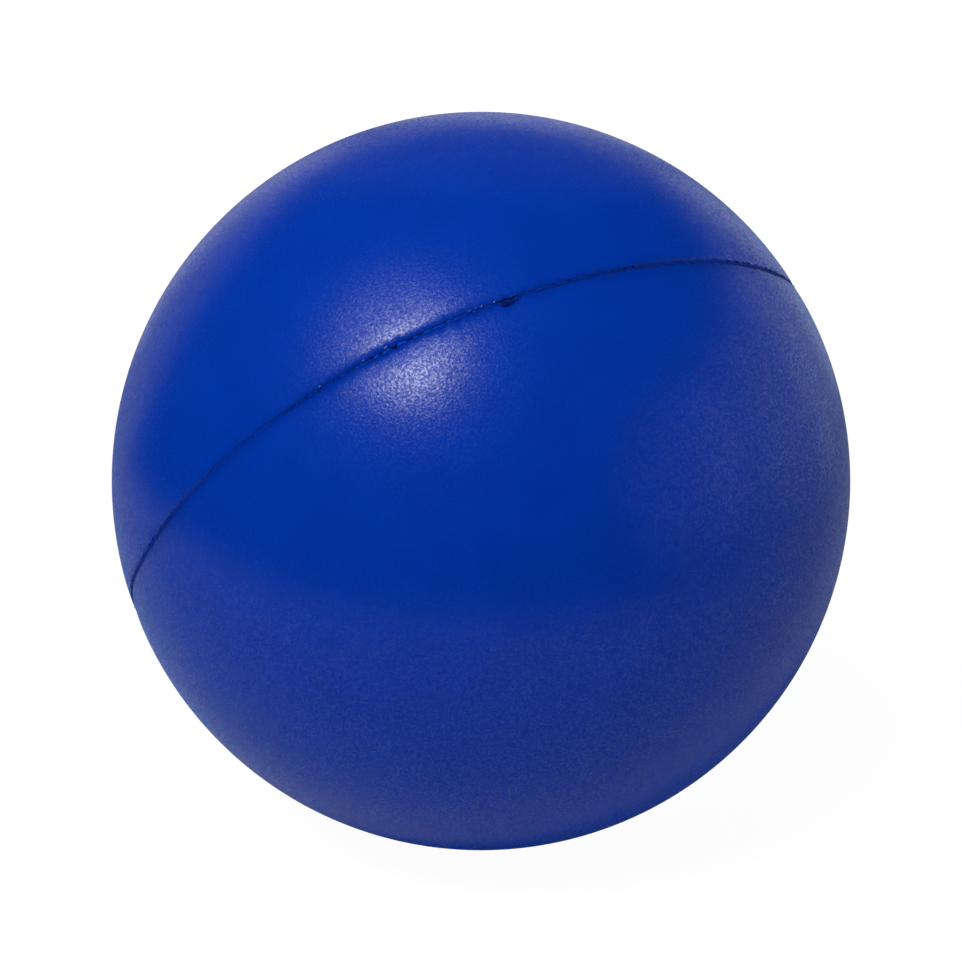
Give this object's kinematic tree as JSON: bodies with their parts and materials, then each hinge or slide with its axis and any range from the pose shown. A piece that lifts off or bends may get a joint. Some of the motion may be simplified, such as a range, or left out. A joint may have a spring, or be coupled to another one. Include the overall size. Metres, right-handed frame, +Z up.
{
  "type": "stress ball",
  "caption": "Solid moulded foam stress ball with a pebbled self-skin and a parting line round it; squeezes flat in the hand and springs back.",
  "frame": {"origin": "centre of the ball", "axes": "+Z is up as the ball lies; the parting plane passes through the origin and its normal, from the lower skin to the upper skin, leans 45 degrees from +Z towards +Y; +X lies in the parting plane"},
  "size_m": [0.0634, 0.0634, 0.0634],
  "materials": {
    "skin": "matt to satin in-mould colour coat over self-skinned polyurethane foam, fine pebble with pinholes",
    "foam": "open-cell flexible polyurethane foam, coloured through",
    "flash": "torn foam film in the depth of the parting line"
  },
  "bodies": {
    "core": {"foam_core": "foam", "parting_flash": "flash"},
    "upper_half": {"upper_skin": "skin"},
    "lower_half": {"lower_skin": "skin"}
  },
  "joints": [
    {"name": "squeeze", "type": "slide", "parent": "core", "child": "upper_half", "axis": [0, -0.7071, -0.7071], "range_m": [0, 0.01333], "stiffness_N_per_m": 4500, "deforming": ["upper_skin", "foam_core", "parting_flash"]},
    {"name": "squeeze_lower", "type": "slide", "parent": "core", "child": "lower_half", "axis": [0, 0.7071, 0.7071], "range_m": [0, 0.01333], "stiffness_N_per_m": 4500, "deforming": ["lower_skin", "foam_core", "parting_flash"]}
  ],
  "couplings": [
    {"joint": "squeeze_lower", "follows": "squeeze", "ratio": 1}
  ]
}
